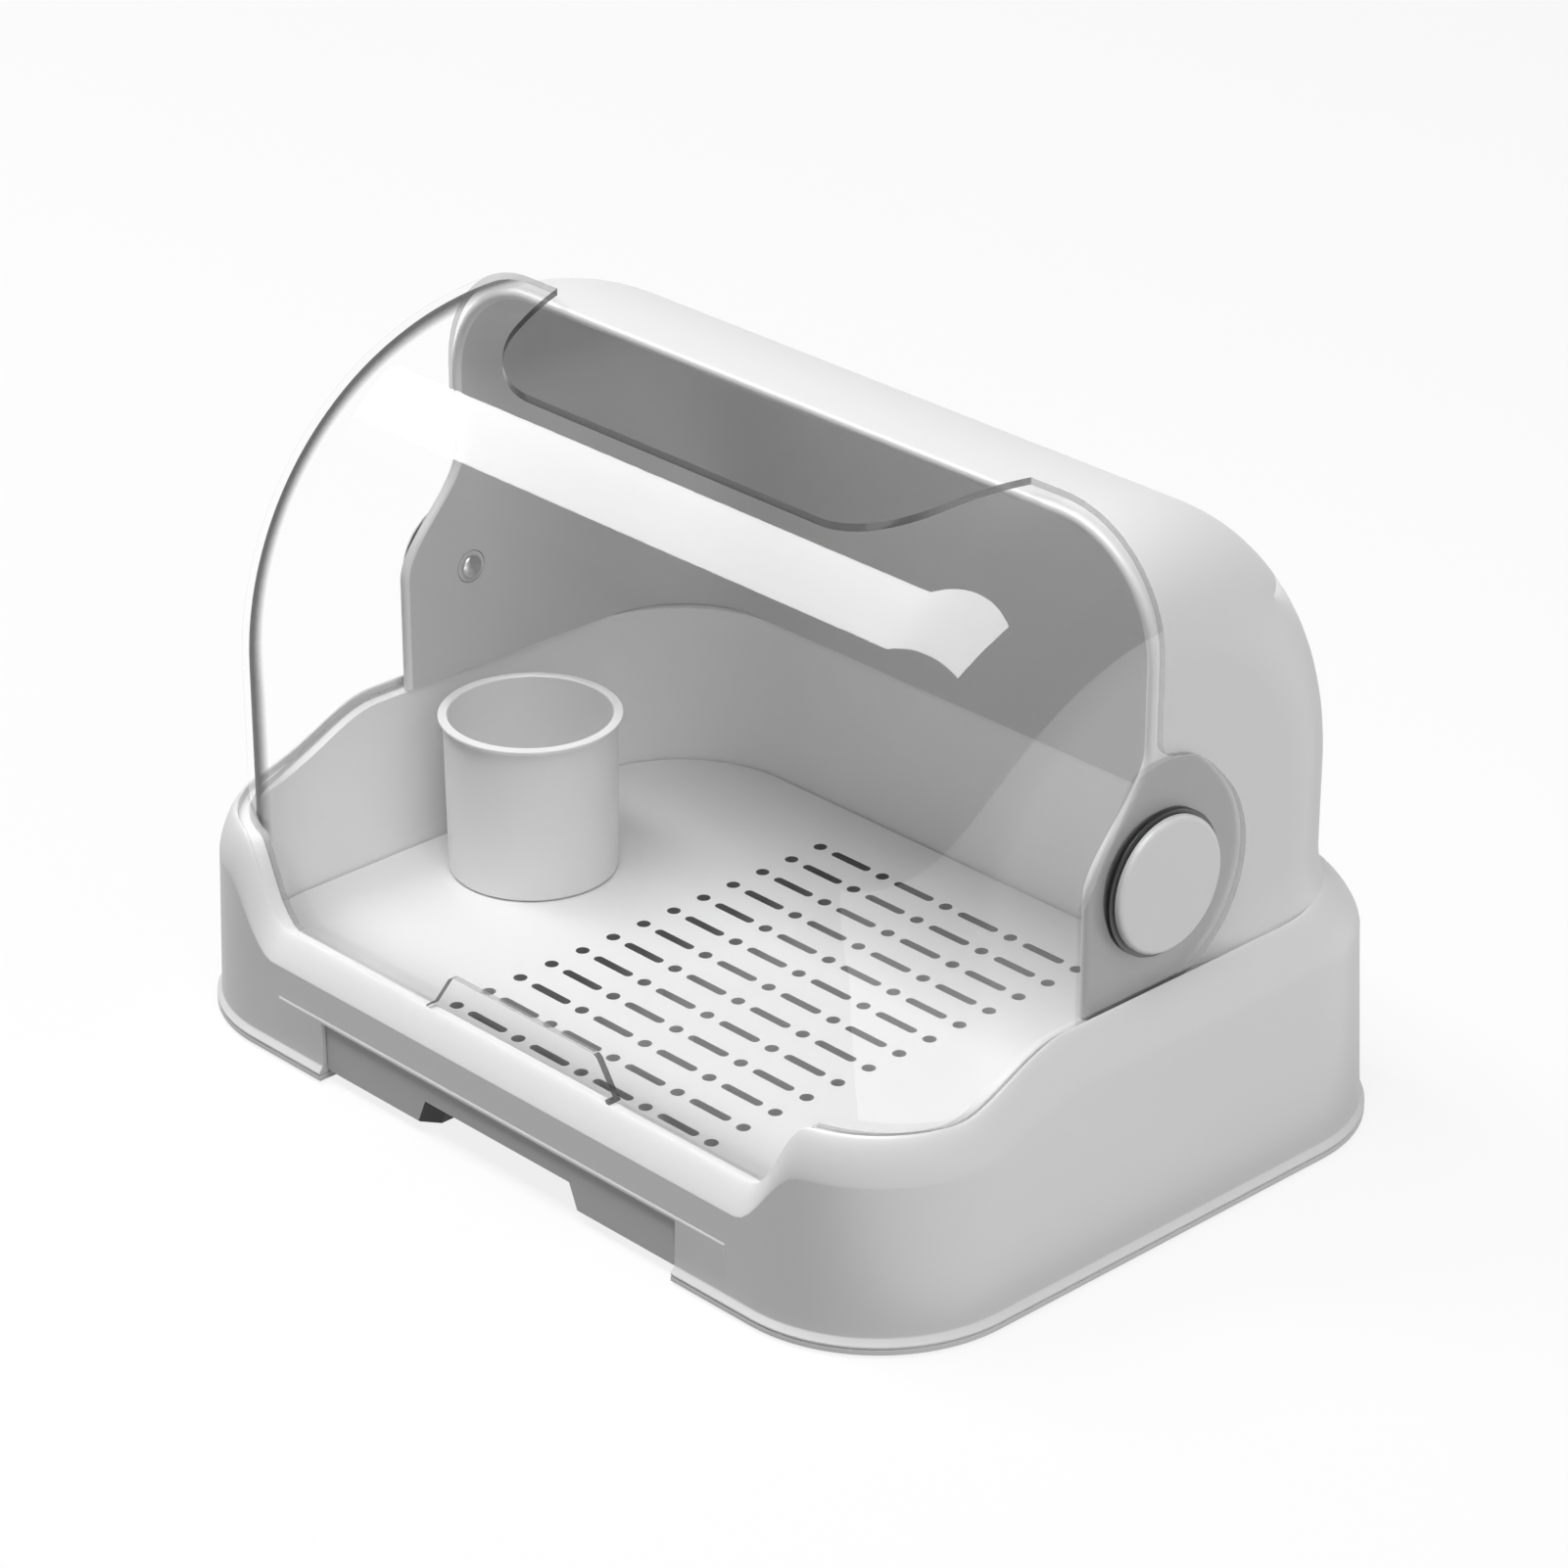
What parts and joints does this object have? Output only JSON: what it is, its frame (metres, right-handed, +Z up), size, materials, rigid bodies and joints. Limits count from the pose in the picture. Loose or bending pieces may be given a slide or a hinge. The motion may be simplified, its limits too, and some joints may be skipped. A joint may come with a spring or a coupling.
{
  "type": "baby bottle drying box",
  "caption": "Round-cornered drying box with a fixed half hood, a clear lid that swings back over it, a perforated floor, a water drawer and a cup.",
  "frame": {"origin": "centre of the footprint, on the plane that the feet stand on", "axes": "+X to the right along the width, +Y to the back, +Z up; -Y is the front with the drawer"},
  "size_m": [0.37, 0.27, 0.2524],
  "materials": {
    "white_shell": "satin moulded white plastic",
    "white_hood": "smooth moulded white plastic with a soft gloss",
    "white_inner": "satin moulded white plastic",
    "pale_inner": "satin pale grey plastic",
    "clear_lid": "polished clear plastic",
    "black_washer": "satin black plastic",
    "steel": "bright turned steel",
    "grey_rubber": "soft grey rubber"
  },
  "bodies": {
    "base": {"base_shell": "white_shell", "bottom_plate": "white_shell", "foot_front_left": "grey_rubber", "foot_front_right": "grey_rubber", "foot_back_left": "grey_rubber", "foot_back_right": "grey_rubber", "plate_screw_front_left": "steel", "plate_screw_front_right": "steel", "plate_screw_back_left": "steel", "plate_screw_back_right": "steel", "drawer_rail_left": "pale_inner", "drawer_rail_right": "pale_inner", "hood_shell": "white_hood", "hinge_bush_left": "pale_inner", "hinge_bush_right": "pale_inner"},
    "lid": {"clear_lid": "clear_lid", "hinge_cap_left": "white_hood", "hinge_cap_right": "white_hood", "hinge_washer_left": "black_washer", "hinge_washer_right": "black_washer", "hinge_pin_left": "steel", "hinge_pin_right": "steel"},
    "drawer": {"water_drawer": "white_shell"},
    "floor": {"drain_tray": "white_inner"},
    "loose_cup": {"cup": "white_inner"}
  },
  "joints": [
    {"name": "lid_hinge", "type": "hinge", "parent": "base", "child": "lid", "pos_m": [0, 0.004, 0.1295], "axis": [-1, 0, 0], "range_deg": [0, 95]},
    {"name": "drawer_slide", "type": "slide", "parent": "base", "child": "drawer", "axis": [0, -1, 0], "range_m": [0, 0.15]},
    {"name": "floor_lift", "type": "slide", "parent": "base", "child": "floor", "axis": [0, 0, 1], "range_m": [0, 0.015]},
    {"name": "cup_lift", "type": "slide", "parent": "floor", "child": "loose_cup", "axis": [0.5, -0.35, 0.7921], "range_m": [0, 0.09]}
  ]
}
